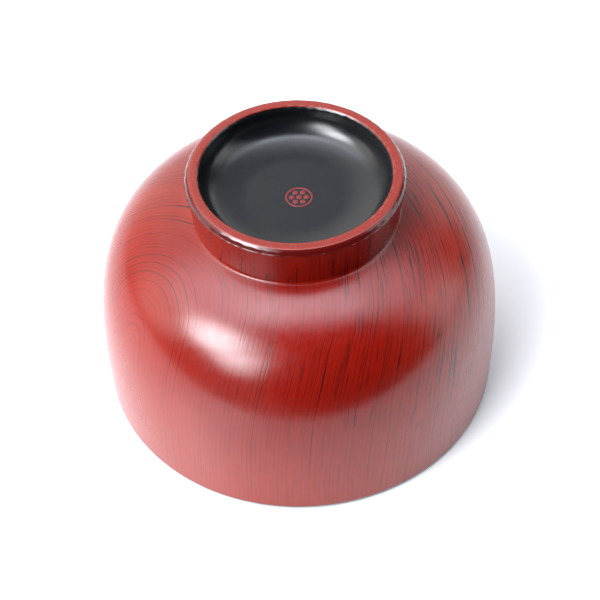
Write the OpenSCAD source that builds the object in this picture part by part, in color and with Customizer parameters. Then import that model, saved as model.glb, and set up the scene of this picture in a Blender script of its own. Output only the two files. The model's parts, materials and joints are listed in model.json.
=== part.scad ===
// Lacquered wooden rice bowl, standing mouth down on its lip with the foot ring on top.
// The bowl is turned: every piece is one outline, or a band of it, swept round the Z axis.
// The origin is the centre of the circle that the lip rests on, and +Z runs up to the foot.

/* [Bowl] */
// Outside diameter at the lip
lip_d = 121; // [110:1:132]
// Height from the lip to the face of the foot
bowl_h = 80; // [74:1:88]
// Outward lean of the side where it leaves the lip, in degrees
side_lean = 1.6; // [0:0.1:4]
// Length of the curve's handle up the side: more makes the side straighter
side_pull = 46.4; // [36:0.2:50]
// Length of the curve's handle along the shoulder: more makes the shoulder fuller
shoulder_pull = 26.7; // [18:0.1:30]
// Slope of the shoulder where it meets the foot, in degrees
shoulder_slope = 13.7; // [6:0.1:24]

/* [Wall] */
// Thickness of the wall at the lip
lip_t = 3.4; // [2.6:0.1:5]
// Thickness of the bottom, between the inside and the recess under the foot
base_t = 9; // [7:0.5:12]
// Length of the inside curve's handle up the side
inner_side_pull = 44.3; // [36:0.1:46]
// Length of the inside curve's handle along the bottom
inner_base_pull = 48; // [40:0.5:50]

/* [Foot] */
// Diameter of the foot at the lower edge of its bevel, its widest place
foot_d = 62.9; // [56:0.1:68]
// Height of the foot above the shoulder
foot_h = 14; // [11:0.5:16]
// How much narrower the foot is at its root, on the radius
foot_taper = 1.35; // [0:0.05:2.5]
// Width of the bevel, on the radius
bevel_w = 0.75; // [0.5:0.05:1.5]
// Height of the bevel
bevel_h = 1.45; // [1:0.05:2.5]
// Width of the face that the bowl stands on, with its two rounded edges
face_w = 3.2; // [2.2:0.1:5]
// Depth of the recess inside the foot
recess_depth = 9.4; // [8.6:0.1:11]
// Radius of the hollow where the recess wall turns into its floor
recess_wall_r = 6.8; // [4:0.1:6.9]
// Radius of the shallow dish at the rim of the recess floor
recess_dish_r = 28; // [16:0.5:36]

/* [Edges] */
// Radius of the rounded edges of the foot
edge_r = 0.5; // [0.45:0.01:0.6]
// Radius of the fillet where the foot meets the shoulder
root_r = 0.8; // [0.5:0.1:1.5]

/* [Coats] */
// Thickness of the ground coat on the wood
ground_t = 0.15; // [0.1:0.01:0.18]
// Thickness of the lacquer over the ground coat
lacquer_t = 0.25; // [0.15:0.01:0.26]

/* [Mark] */
// Diameter of the painted mark on the recess floor
mark_d = 8; // [5:0.1:12]
// How far the hand-painted mark sits from the axis, along +X
mark_x = 0.9; // [-2:0.1:2]
// How far the hand-painted mark sits from the axis, along +Y
mark_y = -0.9; // [-2:0.1:2]
// Width of the mark's ring
mark_line_w = 0.6; // [0.4:0.05:0.65]
// Number of dots in the mark's rosette
mark_dots = 6; // [3:1:7]
// Thickness of the paint
mark_t = 0.08; // [0.05:0.01:0.2]

/* [Hidden] */

// Steps along the long curves, the lip, the dish of the recess and the small rounded edges
CURVE_STEPS = 36;
LIP_STEPS = 16;
DISH_STEPS = 8;
EDGE_STEPS = 6;
// Angle above level of the wall's normal where the recess wall starts, and where the dish takes over
RECESS_DRAFT = 4;
DISH_ANGLE = 72;
$fn = 128;

lip_r = lip_d / 2;
lip_round = lip_t / 2;
foot_r = foot_d / 2;
skin_t = ground_t + lacquer_t;
root_z = bowl_h - foot_h;
face_r = foot_r - bevel_w;
recess_r = face_r - face_w;
floor_z = bowl_h - recess_depth;
cavity_z = floor_z - base_t;

function unit(v) = v / norm(v);

function turned(v, angle) = [v[0] * cos(angle) - v[1] * sin(angle), v[0] * sin(angle) + v[1] * cos(angle)];

// The same angle, between -180 and 180 degrees
function wrapped(angle) = angle - 360 * round(angle / 360);

function heading(v) = atan2(v[1], v[0]);

function arc(centre, radius, from, to, steps) =
    [for (i = [0 : steps]) centre + turned([radius, 0], from + (to - from) * i / steps)];

function bezier(a, b, c, d, steps) =
    [for (i = [0 : steps])
        let (t = i / steps, s = 1 - t)
        s * s * s * a + 3 * s * s * t * b + 3 * s * t * t * c + t * t * t * d];

// How far a fillet's ends lie from its corner
function fillet_reach(before, corner, after, radius) =
    let (half = acos(unit(before - corner) * unit(after - corner)) / 2)
    radius / tan(half);

// An arc that rounds the corner between two straight runs
function fillet(before, corner, after, radius) =
    let (
        back = unit(before - corner),
        on = unit(after - corner),
        half = acos(back * on) / 2,
        reach = radius / tan(half),
        centre = corner + unit(back + on) * radius / sin(half),
        from = heading(corner + back * reach - centre),
        sweep = wrapped(heading(corner + on * reach - centre) - from)
    )
    arc(centre, radius, from, from + sweep, EDGE_STEPS);

// Inside of the bowl, from its middle out to the lip
inner_run = bezier([0, cavity_z], [inner_base_pull, cavity_z],
                   [lip_r - lip_t, lip_round + inner_side_pull], [lip_r - lip_t, lip_round], CURVE_STEPS);

// Half round of the lip, down and back up, without its two ends
lip_arc = arc([lip_r - lip_round, lip_round], lip_round, 180, 360, LIP_STEPS);
lip_run = [for (i = [1 : LIP_STEPS - 1]) lip_arc[i]];

// Corners of the foot: its root, the two edges of its bevel and the edge of its recess
root_corner = [foot_r - foot_taper, root_z];
bevel_corner = [foot_r, bowl_h - bevel_h];
face_corner = [face_r, bowl_h];
recess_corner = [recess_r, bowl_h];

// The recess, from the top of its wall down round the dish to the floor
recess_wall_top = recess_r - 0.4;
wall_centre_r = recess_wall_top - recess_wall_r * cos(RECESS_DRAFT);
dish_rise = recess_dish_r * (1 - sin(DISH_ANGLE));
wall_centre = [wall_centre_r, floor_z + dish_rise + recess_wall_r * sin(DISH_ANGLE)];
dish_centre = wall_centre + turned([recess_dish_r - recess_wall_r, 0], 180 - DISH_ANGLE);
recess_wall = arc(wall_centre, recess_wall_r, -RECESS_DRAFT, -DISH_ANGLE, DISH_STEPS);
recess_dish = arc(dish_centre, recess_dish_r, -DISH_ANGLE, -90, DISH_STEPS);
recess_run = concat(recess_wall, [for (i = [1 : DISH_STEPS]) recess_dish[i]], [[0, floor_z]]);

// Side and shoulder, from the lip to where the fillet at the root of the foot starts
shoulder_way = turned([1, 0], -shoulder_slope);
root_reach = fillet_reach(root_corner + shoulder_way, root_corner, bevel_corner, root_r);
side_start = [lip_r, lip_round];
side_end = root_corner + shoulder_way * root_reach;
side_run = bezier(side_start, side_start + turned([0, side_pull], -side_lean),
                  side_end + shoulder_way * shoulder_pull, side_end, CURVE_STEPS);

root_run = fillet(root_corner + shoulder_way, root_corner, bevel_corner, root_r);
bevel_low_run = fillet(root_corner, bevel_corner, face_corner, edge_r);
bevel_top_run = fillet(bevel_corner, face_corner, recess_corner, edge_r);
recess_edge_run = fillet(face_corner, recess_corner, recess_wall[0], edge_r);

// The whole finished outline, from the middle of the inside to the middle of the recess floor
outline = concat(inner_run, lip_run, side_run, [for (i = [1 : EDGE_STEPS]) root_run[i]],
                 bevel_low_run, bevel_top_run, recess_edge_run, recess_run);

// Where the coats meet along the outline: a few steps up the inside wall, one step below the outer side
// of the lip, at the lower edge of the bevel, and halfway round the edge of the recess
INSIDE_JOIN = len(inner_run) - 3;
LIP_JOIN = len(inner_run) + len(lip_run) - 1;
BEVEL_JOIN = LIP_JOIN + 1 + len(side_run) + EDGE_STEPS;
RECESS_JOIN = BEVEL_JOIN + len(bevel_low_run) + len(bevel_top_run) + EDGE_STEPS / 2;
LAST = len(outline) - 1;

// Point i of the outline, moved into the material by the given depth. Its two ends stay on the axis.
function sunk(i, depth) =
    i == 0 ? outline[0] + [0, depth] :
    i == LAST ? outline[LAST] - [0, depth] :
    let (
        before = unit(outline[i] - outline[i - 1]),
        after = unit(outline[i + 1] - outline[i]),
        inward = turned(unit(before + after), 90),
        mitre = inward * turned(after, 90)
    )
    outline[i] + inward * depth / mitre;

// The band of skin between two places along the outline and two depths under it, swept round the axis
module coat(from, to, top, bottom) {
    upper = [for (i = [from : to]) sunk(i, top)];
    lower = [for (i = [to : -1 : from]) sunk(i, bottom)];
    rotate_extrude()
        polygon(concat(upper, lower));
}

// The turned block of wood, bowl and foot in one
module wood_core() {
    color([0.45, 0.27, 0.15])
        rotate_extrude()
            polygon([for (i = [0 : LAST]) sunk(i, skin_t)]);
}

// Thin coat that seals the wood and fills its pores, everywhere except in the recess
module ground_coat() {
    color([0.20, 0.06, 0.04])
        coat(0, RECESS_JOIN, lacquer_t, skin_t);
}

// Clear red lacquer on the side, the shoulder and the wall of the foot
module outer_lacquer() {
    color([0.62, 0.09, 0.05])
        coat(LIP_JOIN, BEVEL_JOIN, 0, lacquer_t);
}

// Black lacquer brought round the lip in a band of its own, between the outside and the inside
module lip_lacquer() {
    color([0.07, 0.065, 0.07])
        coat(INSIDE_JOIN, LIP_JOIN, 0, lacquer_t);
}

// Black lacquer on the inside
module inner_lacquer() {
    color([0.05, 0.05, 0.055])
        coat(0, INSIDE_JOIN, 0, lacquer_t);
}

// Solid red lacquer on the bevel and the face that the bowl stands on
module foot_rim_lacquer() {
    color([0.70, 0.20, 0.16])
        coat(BEVEL_JOIN, RECESS_JOIN, 0, lacquer_t);
}

// Satin black lacquer in the recess of the foot
module recess_lacquer() {
    color([0.11, 0.11, 0.12])
        coat(RECESS_JOIN, LAST, 0, skin_t);
}

// Painted mark on the recess floor: a ring round a rosette of dots
module seal_mark() {
    ring_r = mark_d / 2;
    dot_r = ring_r * 0.21;
    dot_place = ring_r * 0.53;
    color([0.62, 0.13, 0.14])
        translate([mark_x, mark_y, floor_z]) {
            difference() {
                cylinder(h = mark_t, r = ring_r);
                translate([0, 0, -mark_t])
                    cylinder(h = 3 * mark_t, r = ring_r - mark_line_w);
            }
            for (i = [0 : mark_dots - 1])
                rotate([0, 0, i * 360 / mark_dots])
                    translate([dot_place, 0, 0])
                        cylinder(h = mark_t, r = dot_r);
            cylinder(h = mark_t, r = dot_r);
        }
}

wood_core();
ground_coat();
outer_lacquer();
lip_lacquer();
inner_lacquer();
foot_rim_lacquer();
recess_lacquer();
seal_mark();
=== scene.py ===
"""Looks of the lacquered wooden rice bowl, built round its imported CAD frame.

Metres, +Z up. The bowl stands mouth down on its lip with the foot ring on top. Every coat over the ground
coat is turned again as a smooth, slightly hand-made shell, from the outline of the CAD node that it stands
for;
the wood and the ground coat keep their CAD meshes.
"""

import json
import math

import bpy
import numpy as np
from mathutils import Matrix, Vector


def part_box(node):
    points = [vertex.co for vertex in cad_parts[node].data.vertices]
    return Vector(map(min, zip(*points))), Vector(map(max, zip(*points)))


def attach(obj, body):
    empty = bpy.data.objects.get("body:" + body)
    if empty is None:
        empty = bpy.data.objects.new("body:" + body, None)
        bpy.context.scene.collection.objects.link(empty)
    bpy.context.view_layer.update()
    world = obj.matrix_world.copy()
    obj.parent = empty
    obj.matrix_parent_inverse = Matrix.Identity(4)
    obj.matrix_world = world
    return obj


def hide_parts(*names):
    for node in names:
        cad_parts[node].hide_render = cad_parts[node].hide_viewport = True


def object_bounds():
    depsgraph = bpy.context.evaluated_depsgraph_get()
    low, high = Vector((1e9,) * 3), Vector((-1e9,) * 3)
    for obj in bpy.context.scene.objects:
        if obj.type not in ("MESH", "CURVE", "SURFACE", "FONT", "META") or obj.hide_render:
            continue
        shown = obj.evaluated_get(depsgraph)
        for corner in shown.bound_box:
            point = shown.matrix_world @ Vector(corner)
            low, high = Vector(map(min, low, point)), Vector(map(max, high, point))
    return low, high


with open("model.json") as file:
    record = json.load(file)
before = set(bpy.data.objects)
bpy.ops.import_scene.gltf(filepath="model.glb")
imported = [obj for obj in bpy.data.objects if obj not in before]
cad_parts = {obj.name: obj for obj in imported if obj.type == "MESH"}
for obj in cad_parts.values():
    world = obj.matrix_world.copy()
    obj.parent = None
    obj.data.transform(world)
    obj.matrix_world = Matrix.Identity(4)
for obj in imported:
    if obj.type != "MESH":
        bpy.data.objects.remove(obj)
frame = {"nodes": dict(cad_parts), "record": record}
cad_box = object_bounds()

MM = 0.001
# Circles of the shells: corners in each, and how much smaller they are than the CAD's, to stay in its box
TURN_STEPS = 384
ROUND_FIT = -cad_box[0][0] / cad_box[1][0]
# Outlines: the longest step between points, and the turn that counts as a real corner
OUTLINE_STEP = 0.8 * MM
CORNER_TURN = math.radians(50)
SHARP_EDGE = math.radians(40)
# Top of the foot: where its bevel starts and ends, and the middle of its face
foot_rim_low, foot_rim_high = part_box("foot_rim_lacquer")
foot_bevel_z, foot_top_z = foot_rim_low.z, foot_rim_high.z
FACE_MIDDLE_R = foot_rim_high.x * 0.94
# The edges of the foot's face, worn to facets: radius of the corner, tilt, and depth below the corner
WORN_EDGES = (
    (foot_rim_high.x - 0.74 * MM, math.radians(40), 0.24 * MM),
    (foot_rim_high.x - 3.95 * MM, math.radians(-45), 0.34 * MM),
)
WORN_REACH = 2.0 * MM
FACET_SOFTNESS = 0.02 * MM
# Finer points near the ridge where the bevel starts
RIDGE_STEP = 0.035 * MM
RIDGE_REACH = 0.6 * MM
# How far hand work moves the surface: the ridge stands out, its height varies, and the bevel sways
RIDGE_LIFT = 0.14 * MM
RIDGE_WAVE = 0.055 * MM
BEVEL_SWAY = 0.035 * MM
# Half widths: of the ridge above and below its crest, and of the bevel's sway
RIDGE_ABOVE, RIDGE_BELOW = 0.07 * MM, 0.30 * MM
SWAY_WIDTH = 0.5 * MM


# ---------------------------------------------------------------- outlines of the CAD nodes

def mesh_points(node):
    mesh = frame["nodes"][node].data
    points = np.zeros(len(mesh.vertices) * 3)
    mesh.vertices.foreach_get("co", points)
    edges = np.zeros(len(mesh.edges) * 2, int)
    mesh.edges.foreach_get("vertices", edges)
    return points.reshape(-1, 3), edges.reshape(-1, 2)


def nearest(rings, points):
    """Which ring each point lies on."""
    found = []
    for block in np.array_split(points, 1 + len(points) // 5000):
        apart = block[:, None, :] - rings[None, :, :]
        found.append(np.argmin(np.sum(apart**2, axis=2), axis=1))
    return np.concatenate(found)


def outline_of(node):
    """Corners (radius, height) of a turned node's outline in order, and whether they close a loop.

    The sweep starts on the XZ half plane, so each circle of corners has a vertex there."""
    points, edges = mesh_points(node)
    on_seam = (np.abs(points[:, 1]) < 1e-7) & (points[:, 0] > -1e-7)
    rings = np.unique(np.round(points[on_seam][:, [0, 2]], 7), axis=0)
    flat = np.column_stack([np.hypot(points[:, 0], points[:, 1]), points[:, 2]])
    ring_of = nearest(rings, flat)
    links = {}
    for a, b in ring_of[edges]:
        if a != b:
            links.setdefault(a, set()).add(b)
            links.setdefault(b, set()).add(a)
    ends = sorted(ring for ring, near in links.items() if len(near) == 1)
    walk = [ends[0] if ends else min(links)]
    while True:
        onward = sorted(links[walk[-1]] - set(walk[-2:]) - {walk[0]})
        if not onward:
            break
        walk.append(onward[0])
    outline = rings[walk]
    if ends:
        outline = to_axis(to_axis(outline)[::-1])[::-1]
    return outline, not ends


def to_axis(outline):
    """The outline with its last point on the axis."""
    if outline[-1][0] > 1e-6:
        return np.vstack([outline, [0.0, outline[-1][1]]])
    return outline


def unit(v):
    return v / np.linalg.norm(v, axis=-1, keepdims=True)


def corner_places(outline, closed):
    """Where the outline turns sharply, such as at the cut edge of a coat."""
    before = outline - np.roll(outline, 1, axis=0)
    after = np.roll(outline, -1, axis=0) - outline
    turn = np.arccos(np.clip(np.sum(unit(before) * unit(after), axis=1), -1, 1))
    sharp = turn > CORNER_TURN
    if not closed:
        sharp[0] = sharp[-1] = True
    return np.flatnonzero(sharp)


def worn(line):
    """The line with the edges of the foot's face worn to soft facets."""
    near = line[:, 1] > foot_top_z - WORN_REACH
    for radius, tilt, depth in WORN_EDGES:
        lean = np.array([math.sin(tilt), math.cos(tilt)])
        beyond = (line - (radius, foot_top_z)) @ lean + depth
        taken = np.where(near, FACET_SOFTNESS * np.logaddexp(0.0, beyond / FACET_SOFTNESS), 0.0)
        line = line - taken[:, None] * lean
    return line


def refined(line, closed):
    """More points where the surface has its fine ridge and bevel, near the top of the foot."""
    made = []
    following = np.roll(line, -1, axis=0)
    for here, there in zip(line, following if closed else following[:-1]):
        low, high = sorted((here[1], there[1]))
        outside = min(here[0], there[0]) > FACE_MIDDLE_R
        close = outside and high > foot_bevel_z - RIDGE_REACH and low < foot_top_z
        steps = math.ceil(np.linalg.norm(there - here) / RIDGE_STEP) if close else 1
        made.append(here + (there - here) * (np.arange(steps) / steps)[:, None])
    if not closed:
        made.append(line[-1:])
    return np.vstack(made)


def curve_through(run, spacing):
    """Points along smooth cubic curves through a run of outline points, without the last one."""
    chords = np.diff(run, axis=0)
    slopes = np.vstack([chords[:1], run[2:] - run[:-2], chords[-1:]])
    for end in (0, -1):
        if run[end][0] < 1e-6:
            slopes[end] = [math.copysign(1.0, slopes[end][0]), 0.0]
    slopes = unit(slopes)
    made = []
    for i, chord in enumerate(chords):
        length = np.linalg.norm(chord)
        steps = max(1, math.ceil(length / spacing))
        t = (np.arange(steps) / steps)[:, None]
        start, stop = slopes[i] * length, slopes[i + 1] * length
        made.append(
            (2 * t**3 - 3 * t**2 + 1) * run[i]
            + (t**3 - 2 * t**2 + t) * start
            + (3 * t**2 - 2 * t**3) * run[i + 1]
            + (t**3 - t**2) * stop
        )
    return np.vstack(made)


def smooth_outline(node, spacing=OUTLINE_STEP):
    """A node's outline as a fine smooth line, sharp only at its real corners."""
    outline, closed = outline_of(node)
    low, high = outline.min(axis=0), outline.max(axis=0)
    places = corner_places(outline, closed)
    if closed:
        outline = np.roll(outline, -places[0], axis=0)
        places = np.append(places - places[0], len(outline))
        outline = np.vstack([outline, outline[:1]])
    runs = [curve_through(outline[a : b + 1], spacing) for a, b in zip(places[:-1], places[1:])]
    if not closed:
        runs.append(outline[-1:])
    line = np.clip(np.vstack(runs), low, high)
    return worn(refined(line, closed)), closed


# ---------------------------------------------------------------- turned shells

class HandWork:
    """The small unevenness that brush and lathe leave round the foot, as a shift of the surface.

    Every coat takes the same shift, so that coats that meet still meet."""

    def __init__(self, seed):
        draw = np.random.default_rng(seed)
        self.waves = {
            "ridge": self.wave(draw, 24, 90, 0.55),
            "bevel": self.wave(draw, 10, 60, 0.6),
        }

    @staticmethod
    def wave(draw, low, high, share):
        """A smooth random line round the bowl, from many whole-number waves, about -1 to 1."""
        counts = np.arange(low, high)
        present = draw.random(len(counts)) < share
        sizes = draw.random(len(counts)) * present
        phases = draw.random(len(counts)) * math.tau
        scale = 1.6 / math.sqrt(np.sum(sizes**2))
        return counts, sizes * scale, phases

    def along(self, name, angle):
        counts, sizes, phases = self.waves[name]
        return np.cos(np.outer(angle, counts) + phases) @ sizes

    def shift(self, height, angle):
        """How far the surface moves outwards at each height (rows) and angle (columns)."""
        bevel_z = (foot_bevel_z + foot_top_z) / 2
        ridge_width = np.where(height > foot_bevel_z, RIDGE_ABOVE, RIDGE_BELOW)
        ridge = np.exp(-(((height - foot_bevel_z) / ridge_width) ** 2))
        bevel = np.exp(-(((height - bevel_z) / SWAY_WIDTH) ** 2))
        lift = RIDGE_LIFT + RIDGE_WAVE * self.along("ridge", angle)
        sway = BEVEL_SWAY * self.along("bevel", angle)
        return np.outer(ridge, lift) + np.outer(bevel, sway)


def lathe_faces(rings, steps, closed, first_pole, last_pole):
    """Quads between neighbouring rings, and triangles to the poles where the outline meets the axis."""
    faces = []
    for ring in range(rings if closed else rings - 1):
        low, high = ring * steps, (ring + 1) % rings * steps
        for step in range(steps):
            on = (step + 1) % steps
            faces.append((low + step, low + on, high + on, high + step))
    for pole, ring in ((first_pole, 0), (last_pole, rings - 1)):
        if pole is not None:
            base = ring * steps
            fan = [(pole, base + (step + 1) % steps, base + step) for step in range(steps)]
            faces += fan if ring == 0 else [face[::-1] for face in fan]
    return faces


def turned(name, outline, closed, hand=None, centre=(0.0, 0.0), steps=TURN_STEPS):
    """A new object: the outline swept round a vertical axis."""
    poles = [] if closed else [outline[0], outline[-1]]
    rings = outline if closed else outline[1:-1]
    angle = np.arange(steps) * math.tau / steps
    radius = np.repeat(rings[:, :1], steps, axis=1) * ROUND_FIT
    height = np.repeat(rings[:, 1:], steps, axis=1)
    if hand is not None:
        radius = radius + hand.shift(rings[:, 1], angle)
    points = np.stack([radius * np.cos(angle), radius * np.sin(angle), height], axis=-1).reshape(-1, 3)
    points = points.tolist() + [[0.0, 0.0, pole[1]] for pole in poles]
    count = len(rings) * steps
    first, last = (None, None) if closed else (count, count + 1)
    mesh = bpy.data.meshes.new(name)
    mesh.from_pydata(points, [], lathe_faces(len(rings), steps, closed, first, last))
    mesh.transform(Matrix.Translation((*centre, 0.0)))
    face_outwards(mesh)
    mesh.polygons.foreach_set("use_smooth", [True] * len(mesh.polygons))
    mesh.set_sharp_from_angle(angle=SHARP_EDGE)
    made = bpy.data.objects.new(name, mesh)
    bpy.context.scene.collection.objects.link(made)
    return made


def face_outwards(mesh):
    """Turns all faces over if the mesh is inside out."""
    mesh.calc_loop_triangles()
    corners = np.zeros(len(mesh.vertices) * 3)
    mesh.vertices.foreach_get("co", corners)
    triangles = np.zeros(len(mesh.loop_triangles) * 3, int)
    mesh.loop_triangles.foreach_get("vertices", triangles)
    a, b, c = corners.reshape(-1, 3)[triangles.reshape(-1, 3)].transpose(1, 0, 2)
    if np.sum(a * np.cross(b, c)) < 0:
        mesh.flip_normals()


# ---------------------------------------------------------------- shader helpers

def wire(tree, socket, value):
    """Gives a socket its value, or links it when the value is another node's socket."""
    if isinstance(value, bpy.types.NodeSocket):
        tree.links.new(value, socket)
    else:
        socket.default_value = value


def add(tree, kind, inputs, **settings):
    """A new shader node with its settings, and its inputs by name or number."""
    node = tree.nodes.new("ShaderNode" + kind)
    for name, value in settings.items():
        setattr(node, name, value)
    for name, value in inputs.items():
        wire(tree, node.inputs[name], value)
    return node


def calc(tree, operation, *values, clamp=False):
    node = add(tree, "Math", dict(enumerate(values)), operation=operation, use_clamp=clamp)
    return node.outputs[0]


def product(tree, first, *others):
    """All the values multiplied together."""
    for other in others:
        first = calc(tree, "MULTIPLY", first, other)
    return first


def between(tree, value, low, high, to_low=0.0, to_high=1.0, smooth=True):
    """The value's place between low and high, eased, on the scale of to_low to to_high."""
    inputs = {"Value": value, "From Min": low, "From Max": high, "To Min": to_low, "To Max": to_high}
    kind = "SMOOTHSTEP" if smooth else "LINEAR"
    return add(tree, "MapRange", inputs, interpolation_type=kind).outputs["Result"]


def blend(tree, share, a, b):
    """Colour a, with a share of colour b over it."""
    node = add(tree, "Mix", {}, data_type="RGBA")
    wire(tree, node.inputs[0], share)
    wire(tree, node.inputs[6], a)
    wire(tree, node.inputs[7], b)
    return node.outputs[2]


def colour(red, green, blue):
    return (red, green, blue, 1.0)


def place_mm(tree):
    """The point on the surface, in millimetres, in the frame of the part."""
    inputs = {0: add(tree, "TexCoord", {}).outputs["Object"], 1: (1 / MM,) * 3}
    return add(tree, "VectorMath", inputs, operation="MULTIPLY").outputs[0]


def stretched(tree, place, factors):
    """The place scaled along each axis, which draws noise out along an axis with a small factor."""
    return add(tree, "VectorMath", {0: place, 1: factors}, operation="MULTIPLY").outputs[0]


def parts_of(tree, vector):
    return add(tree, "SeparateXYZ", {0: vector}).outputs


def length_of(tree, x, y):
    flat = add(tree, "CombineXYZ", {0: x, 1: y}).outputs[0]
    return add(tree, "VectorMath", {0: flat}, operation="LENGTH").outputs["Value"]


def noise(tree, place, scale, detail=2.0, roughness=0.5):
    inputs = {"Vector": place, "Scale": scale, "Detail": detail, "Roughness": roughness}
    return add(tree, "TexNoise", inputs).outputs["Fac"]


def bump(tree, height, distance, normal=None):
    inputs = {"Height": height, "Distance": distance, "Strength": 1.0}
    if normal is not None:
        inputs["Normal"] = normal
    return add(tree, "Bump", inputs).outputs["Normal"]


def new_material(name, base, roughness, normal=None):
    """A material whose base, roughness and normal are values, or functions of the tree and the place."""
    material = bpy.data.materials.new(name)
    material.use_nodes = True
    tree = material.node_tree
    shader = tree.nodes["Principled BSDF"]
    place = place_mm(tree)
    for socket, value in (("Base Color", base), ("Roughness", roughness), ("Normal", normal)):
        if value is not None:
            wire(tree, shader.inputs[socket], value(tree, place) if callable(value) else value)
    return material


# ---------------------------------------------------------------- wood grain, seen through the red lacquer

# The middle of the trunk at the lip and the width of a ring, in mm, and how much the trunk leans
RING_CENTRE = (-53.0, -32.0)
RING_SPACING = 1.25
RING_LEAN = 0.05
# How strongly the grain shows through the red, and the red at the lip, at the foot and in the grain
RED_GRAIN = 0.95
LIP_RED = colour(0.226, 0.0128, 0.0050)
FOOT_RED = colour(0.158, 0.0042, 0.0014)
GRAIN_RED = colour(0.020, 0.0020, 0.0022)


def ring_frame(tree, place):
    """The place as (out from the middle of the trunk, across, along the trunk).

    The middle line of the trunk leans and bends a little."""
    split = parts_of(tree, place)
    slow = add(tree, "TexNoise", {"Vector": place, "Scale": 0.022, "Detail": 2.0, "Roughness": 0.45})
    sway = parts_of(tree, slow.outputs["Color"])
    lean = calc(tree, "MULTIPLY", split[2], RING_LEAN)
    x = calc(tree, "SUBTRACT", calc(tree, "SUBTRACT", split[0], RING_CENTRE[0]), lean)
    x = calc(tree, "MULTIPLY_ADD", sway[0], 3.0, x)
    y = calc(tree, "SUBTRACT", split[1], RING_CENTRE[1])
    y = calc(tree, "MULTIPLY_ADD", sway[1], 3.0, y)
    wander = noise(tree, stretched(tree, place, (1.0, 1.0, 0.25)), 0.15, 3.0, 0.5)
    out = calc(tree, "MULTIPLY_ADD", wander, 0.9, length_of(tree, x, y))
    return add(tree, "CombineXYZ", {0: out, 1: y, 2: split[2]}).outputs[0]


def ring_lines(tree, rings):
    """Dark where a growth ring starts: a thin line that fades outwards, stronger in some rings."""
    out = parts_of(tree, rings)[0]
    slow = {"W": calc(tree, "MULTIPLY", out, 0.25), "Scale": 1.0, "Detail": 1.0}
    uneven = add(tree, "TexNoise", slow, noise_dimensions="1D").outputs["Fac"]
    count = calc(tree, "MULTIPLY_ADD", uneven, 1.1, calc(tree, "DIVIDE", out, RING_SPACING))
    phase = calc(tree, "FRACT", count)
    rise = between(tree, phase, 0.0, 0.12)
    fall = between(tree, phase, 0.14, 0.48, 1.0, 0.0)
    number = {"W": calc(tree, "FLOOR", count)}
    chance = add(tree, "TexWhiteNoise", number, noise_dimensions="1D").outputs["Value"]
    share = calc(tree, "MULTIPLY_ADD", product(tree, chance, chance), 0.65, 0.22)
    outer = between(tree, out, 6.0, 32.0, 0.3, 1.0)
    return product(tree, rise, fall, product(tree, share, outer))


def along_rings(tree, rings, scale, stretch, low, high, detail=2.0):
    """Lines and patches that follow the rings: noise drawn out along them, none at low, full at high."""
    drawn = noise(tree, stretched(tree, rings, (1.0, stretch, stretch)), scale, detail, 0.55)
    return between(tree, drawn, low, high)


def streaks(tree, rings):
    """Sparse dark streaks where the pores lie open.

    Most are on the shoulder and the foot, on the side away from the middle of the trunk."""
    lines = along_rings(tree, rings, 1.7, 0.026, 0.575, 0.69, 3.0)
    patches = along_rings(tree, rings, 0.09, 0.6, 0.40, 0.56)
    out, _, height = parts_of(tree, rings)
    near_side = between(tree, out, 54.0, 88.0, 0.2, 1.0)
    far_side = between(tree, out, 84.0, 104.0, 1.0, 0.6)
    above_lip = between(tree, height, 12.0, 34.0, 0.15, 1.0)
    on_foot = between(tree, height, 63.0, 68.0, 1.0, 3.0)
    share = product(tree, near_side, above_lip, far_side, on_foot)
    return product(tree, lines, patches, share)


def grain(tree, place):
    """How dark the grain is at a place, 0 to 1."""
    rings = ring_frame(tree, place)
    out, _, height = parts_of(tree, rings)
    clear = calc(tree, "MULTIPLY_ADD", along_rings(tree, rings, 0.10, 0.4, 0.32, 0.62), 0.65, 0.35)
    below_foot = between(tree, height, 62.0, 67.0, 1.0, 0.4)
    lines = product(tree, ring_lines(tree, rings), clear, below_foot)
    pores = along_rings(tree, rings, 1.7, 0.05, 0.45, 0.75)
    dark = calc(tree, "MULTIPLY_ADD", pores, between(tree, out, 25.0, 60.0, 0.08, 0.30), lines)
    return calc(tree, "MULTIPLY_ADD", streaks(tree, rings), 1.4, dark)


def red_base(tree, place):
    """Red that grows deeper up to the foot, in drifts, with the grain over it.

    It is painted lighter round the sides and on the left of the foot: painted light where the lamps fall on
    them."""
    x, _, height = parts_of(tree, place)
    drift = calc(tree, "MULTIPLY_ADD", noise(tree, place, 0.05, 3.0), 24.0, height)
    # painted light: the sides, lit by the lamps on the left and right, and the left of the foot, which
    # faces the window, are painted lighter than the front
    painted_light_right = between(tree, x, 14.0, 50.0, 0.0, 40.0)
    painted_light_left = between(tree, x, -50.0, -22.0, 27.0, 0.0)
    on_foot = between(tree, height, 64.0, 67.0, 0.0, 45.0)
    painted_light_foot = product(tree, on_foot, between(tree, x, -28.0, 0.0, 1.0, 0.0))
    for lighter in (painted_light_right, painted_light_left, painted_light_foot):
        drift = calc(tree, "SUBTRACT", drift, lighter)
    red = blend(tree, between(tree, drift, 14.0, 68.0), LIP_RED, FOOT_RED)
    depth = between(tree, height, 5.0, 62.0, 0.6 * RED_GRAIN, 1.4 * RED_GRAIN, smooth=False)
    share = calc(tree, "MULTIPLY", grain(tree, place), depth, clamp=True)
    return blend(tree, share, red, GRAIN_RED)


def red_roughness(tree, place):
    return between(tree, noise(tree, place, 0.4, 3.0), 0.3, 0.7, 0.20, 0.25)


def red_relief(tree, place):
    """Very slight waves of brushed lacquer, and grain that has sunk a little."""
    peel = bump(tree, noise(tree, place, 0.35, 2.0), 0.01 * MM)
    return bump(tree, calc(tree, "MULTIPLY", grain(tree, place), -1.0), 0.012 * MM, peel)


# ---------------------------------------------------------------- the other coats

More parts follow.
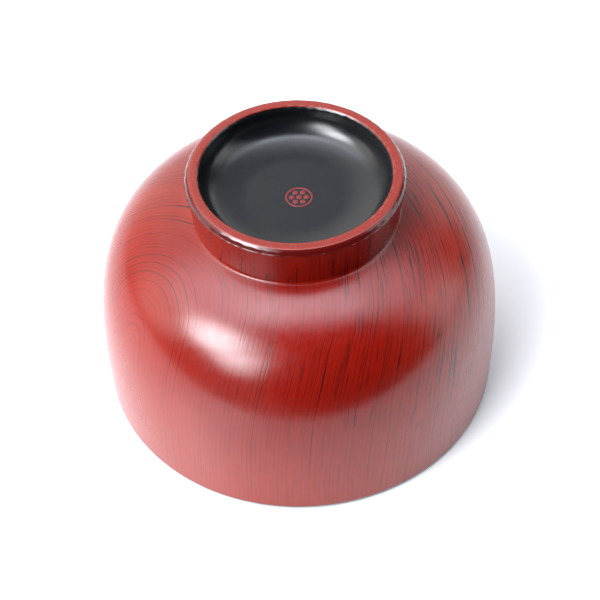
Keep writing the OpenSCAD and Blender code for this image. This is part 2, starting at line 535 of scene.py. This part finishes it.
def rim_red(tree, place):
    """Coral on the flat face, with faint turning streaks, and deep red down the bevel."""
    x, y, height = parts_of(tree, place)
    radius = length_of(tree, x, y)
    streak = noise(tree, add(tree, "CombineXYZ", {0: radius}).outputs[0], 3.0, 2.0)
    fine = noise(tree, place, 1.1, 3.0, 0.6)
    rubbed = calc(tree, "MULTIPLY_ADD", streak, 0.5, calc(tree, "MULTIPLY", fine, 0.5))
    light, dark = colour(0.190, 0.0175, 0.0090), colour(0.140, 0.0110, 0.0065)
    face = blend(tree, between(tree, rubbed, 0.3, 0.7), light, dark)
    inner_edge = between(tree, radius, FACE_MIDDLE_R / MM - 0.5, FACE_MIDDLE_R / MM, 1.0, 0.0)
    above_bevel = between(tree, height, foot_top_z / MM - 0.20, foot_top_z / MM - 0.04)
    on_face = calc(tree, "MAXIMUM", above_bevel, inner_edge)
    return blend(tree, on_face, colour(0.060, 0.0028, 0.0026), face)


def rim_roughness(tree, place):
    """Satin on the face and glossy down the bevel."""
    height = parts_of(tree, place)[2]
    face, bevel = between(tree, noise(tree, place, 0.3, 3.0), 0.3, 0.7, 0.22, 0.30), 0.13
    on_face = between(tree, height, foot_top_z / MM - 0.25, foot_top_z / MM - 0.05)
    return calc(tree, "MULTIPLY_ADD", on_face, calc(tree, "SUBTRACT", face, bevel), bevel)


def satin_black(tree, place):
    dark, light = colour(0.0020, 0.0025, 0.0034), colour(0.0030, 0.0036, 0.0048)
    return blend(tree, noise(tree, place, 0.2, 3.0), dark, light)


def fine_peel(scale, depth):
    """Slight waves in a coat, so many millimetres deep."""
    return lambda tree, place: bump(tree, noise(tree, place, scale, 2.0), depth * MM)


def patchy(low, high, size=0.3):
    """Roughness that drifts between two values."""
    return lambda tree, place: between(tree, noise(tree, place, size, 3.0), 0.3, 0.7, low, high)


def bare_wood(tree, place):
    light, dark = colour(0.42, 0.22, 0.10), colour(0.20, 0.09, 0.035)
    return blend(tree, calc(tree, "MULTIPLY", grain(tree, place), 0.8, clamp=True), light, dark)


def ground_brown(tree, place):
    share = calc(tree, "MULTIPLY", grain(tree, place), 0.6, clamp=True)
    return blend(tree, share, colour(0.05, 0.012, 0.008), colour(0.012, 0.004, 0.003))


def mark_red(tree, place):
    return blend(tree, noise(tree, place, 1.5, 3.0), colour(0.15, 0.008, 0.009), colour(0.09, 0.005, 0.006))


# Slot: name of the material, base, roughness, normal
FINISHES = {
    "wood": ("turned_wood", bare_wood, patchy(0.55, 0.7), fine_peel(1.2, 0.03)),
    "ground_coat": ("ground_coat", ground_brown, patchy(0.5, 0.65), fine_peel(1.0, 0.02)),
    "red_lacquer": ("red_lacquer", red_base, red_roughness, red_relief),
    "lip_black_lacquer": ("lip_black_lacquer", satin_black, patchy(0.2, 0.26), fine_peel(0.4, 0.01)),
    "inner_black_lacquer": ("inner_black_lacquer", satin_black, patchy(0.18, 0.24), fine_peel(0.3, 0.01)),
    "foot_red_lacquer": ("foot_red_lacquer", rim_red, rim_roughness, fine_peel(0.9, 0.01)),
    "recess_black_lacquer": ("recess_black_lacquer", satin_black, patchy(0.22, 0.26), fine_peel(0.4, 0.01)),
    "mark_paint": ("mark_paint", mark_red, patchy(0.35, 0.5), fine_peel(2.0, 0.01)),
}
MATERIALS = {slot: new_material(*finish) for slot, finish in FINISHES.items()}

SLOT_OF = {part["node"]: part["material_slot"] for part in frame["record"]["subparts"]}


def dress(piece, node):
    """Gives a piece the material of a CAD node, puts it on the part's one body and hides the node."""
    slot = SLOT_OF[node]
    piece.data.materials.clear()
    piece.data.materials.append(MATERIALS[slot])
    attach(piece, "root")
    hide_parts(node)


# ---------------------------------------------------------------- the pieces

hand_work = HandWork(seed=7)

SHELLS = {
    "outer_lacquer": "red_lacquer_shell",
    "lip_lacquer": "lip_band",
    "inner_lacquer": "inner_lacquer_shell",
    "foot_rim_lacquer": "foot_rim",
    "recess_lacquer": "recess_lining",
}
for node, name in SHELLS.items():
    line, is_loop = smooth_outline(node)
    dress(turned(name, line, is_loop, hand_work), node)

for node in ("wood_core", "ground_coat"):
    carried = frame["nodes"][node]
    carried.data.materials.clear()
    carried.data.materials.append(MATERIALS[SLOT_OF[node]])


def paint_film(inner, outer, low, high, steps=3):
    """Outline of a thin film of paint from one radius to another, with rounded upper edges."""
    depth = high - low
    turns = [i * math.pi / 2 / steps for i in range(steps + 1)]
    rounded = [(outer - depth + depth * math.cos(a), low + depth * math.sin(a)) for a in turns]
    if inner == 0:
        return np.array([(0.0, low)] + rounded + [(0.0, high)])
    back = [(inner + depth - depth * math.cos(a), low + depth * math.sin(a)) for a in reversed(turns)]
    return np.array(rounded + back)


def painted_mark():
    """A ring round a rosette of dots, as thin films of paint joined into one piece."""
    low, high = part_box("seal_mark")
    middle, radius = (low + high) / 2, (high.x - low.x) / 2
    ring_width, dot_r, dot_place, dots = radius * 0.15, radius * 0.21, radius * 0.53, 6
    films = [turned("seal_ring", paint_film(radius - ring_width, radius, low.z, high.z), True,
                    centre=middle.xy, steps=96)]
    turns = np.arange(dots) * math.tau / dots
    places = [(0.0, 0.0)] + [(dot_place * math.cos(a), dot_place * math.sin(a)) for a in turns]
    for x, y in places:
        film = paint_film(0, dot_r, low.z, high.z)
        films.append(turned("seal_dot", film, False, centre=(middle.x + x, middle.y + y), steps=32))
    with bpy.context.temp_override(active_object=films[0], selected_editable_objects=films):
        bpy.ops.object.join()
    films[0].name = "painted_mark"
    return films[0]


dress(painted_mark(), "seal_mark")


# ---------------------------------------------------------------- stage, light and camera

def pale_floor():
    """A large pale table top, whose front edge is a little way in front of the bowl."""
    left, right, front, back = -2.5, 2.5, -0.142, 2.5
    mesh = bpy.data.meshes.new("table_top")
    corners = [(left, front, 0), (right, front, 0), (right, back, 0), (left, back, 0)]
    mesh.from_pydata(corners, [], [(0, 1, 2, 3)])
    floor = bpy.data.objects.new("table_top", mesh)
    bpy.context.scene.collection.objects.link(floor)
    floor.data.materials.append(new_material("table_white", colour(0.64, 0.64, 0.64), 0.3))


# Soft lights of the studio: azimuth (0 is towards the camera, 90 is +X), elevation, radius of the even
# middle, radius where the light has faded out, all in degrees, strength, and how cool the colour is
SOFT_LIGHTS = {
    "window": (-62, 45, 5, 18, 16.5, 0.06),
    "window_side": (-44, 43, 3, 26, 10.3, 0.06),
    "window_low": (-34, 26, 3, 18, 8.5, 0.04),
    "window_head": (-103, 63, 10, 26, 3.8, 0.10),
    "ceiling": (90, 88, 6, 22, 4.6, 0.15),
    "right_top": (108, 63, 6, 21, 2.7, 0.10),
    "right_wall": (86, 24, 10, 34, 2.1, 0.05),
    "left_back_wall": (-146, 23, 12, 41, 1.2, -0.07),
    "left_wall": (-92, 29, 6, 31, 2.2, -0.06),
    "back_top": (-152, 78, 8, 28, 1.9, 0.05),
    "right_back_wall": (150, 8, 10, 33, 1.1, 0.02),
    "back_window": (180, 47, 8, 30, 0.32, 0.35),
}
ROOM_LIGHT = 0.45
# Dark things in the room in the same terms, where the strength is the share of all light that they hide
DARK_PLACES = {
    "camera_side": (28, 15, 39, 57, 0.98),
    "camera_stand": (9, 59, 8, 36, 0.98),
    "right_door": (120, 20, 8, 19, 0.67),
    "left_corner": (-124, 16, 8, 23, 0.36),
    "under_window": (-65, 1, 6, 17, 0.3),
    "behind": (178, 66, 6, 22, 0.4),
}


def glow(tree, way, azimuth, elevation, even, faded, strength):
    """A round soft light, or shade, in one direction."""
    a, e = math.radians(azimuth), math.radians(elevation)
    towards = (math.sin(a) * math.cos(e), -math.cos(a) * math.cos(e), math.sin(e))
    facing = add(tree, "VectorMath", {0: way, 1: towards}, operation="DOT_PRODUCT").outputs["Value"]
    return between(tree, facing, math.cos(math.radians(faded)), math.cos(math.radians(even)), 0.0, strength)


def studio_light():
    """A dim room with soft lights and dark places round it; the camera itself sees plain white."""
    world = bpy.data.worlds.new("studio")
    bpy.context.scene.world = world
    world.use_nodes = True
    tree = world.node_tree
    way = add(tree, "TexCoord", {}).outputs["Generated"]
    total = (ROOM_LIGHT, ROOM_LIGHT, ROOM_LIGHT)
    for *terms, cool in SOFT_LIGHTS.values():
        tint = (1 - cool / 2, 1.0, 1 + cool)
        inputs = {0: glow(tree, way, *terms), 1: tint, 2: total}
        total = add(tree, "VectorMath", inputs, operation="MULTIPLY_ADD").outputs[0]
    open_share = 1.0
    for terms in DARK_PLACES.values():
        left = calc(tree, "SUBTRACT", 1.0, glow(tree, way, *terms))
        open_share = calc(tree, "MULTIPLY", left, open_share)
    total = add(tree, "VectorMath", {0: total, 1: open_share}, operation="MULTIPLY").outputs[0]
    seen = add(tree, "LightPath", {}).outputs["Is Camera Ray"]
    wire(tree, tree.nodes["Background"].inputs["Color"], blend(tree, seen, total, colour(2.0, 2.0, 2.0)))


def photo_camera():
    """The camera at the photograph's viewing angle, a little rolled, with no shift."""
    data = bpy.data.cameras.new("camera")
    data.sensor_width = 36.0
    data.lens = 90.5
    data.clip_start = 0.01
    data.dof.use_dof = False
    camera = bpy.data.objects.new("camera", data)
    bpy.context.scene.collection.objects.link(camera)
    place, aim, roll = Vector((0.0, -0.3087, 0.3760)), Vector((0.0003, 0.0, 0.0249)), -0.030
    turn = (aim - place).to_track_quat("-Z", "Y").to_matrix().to_4x4()
    camera.matrix_world = Matrix.Translation(place) @ turn @ Matrix.Rotation(roll, 4, "Z")
    bpy.context.scene.camera = camera


pale_floor()
studio_light()
photo_camera()
bpy.context.scene.view_settings.view_transform = "Standard"
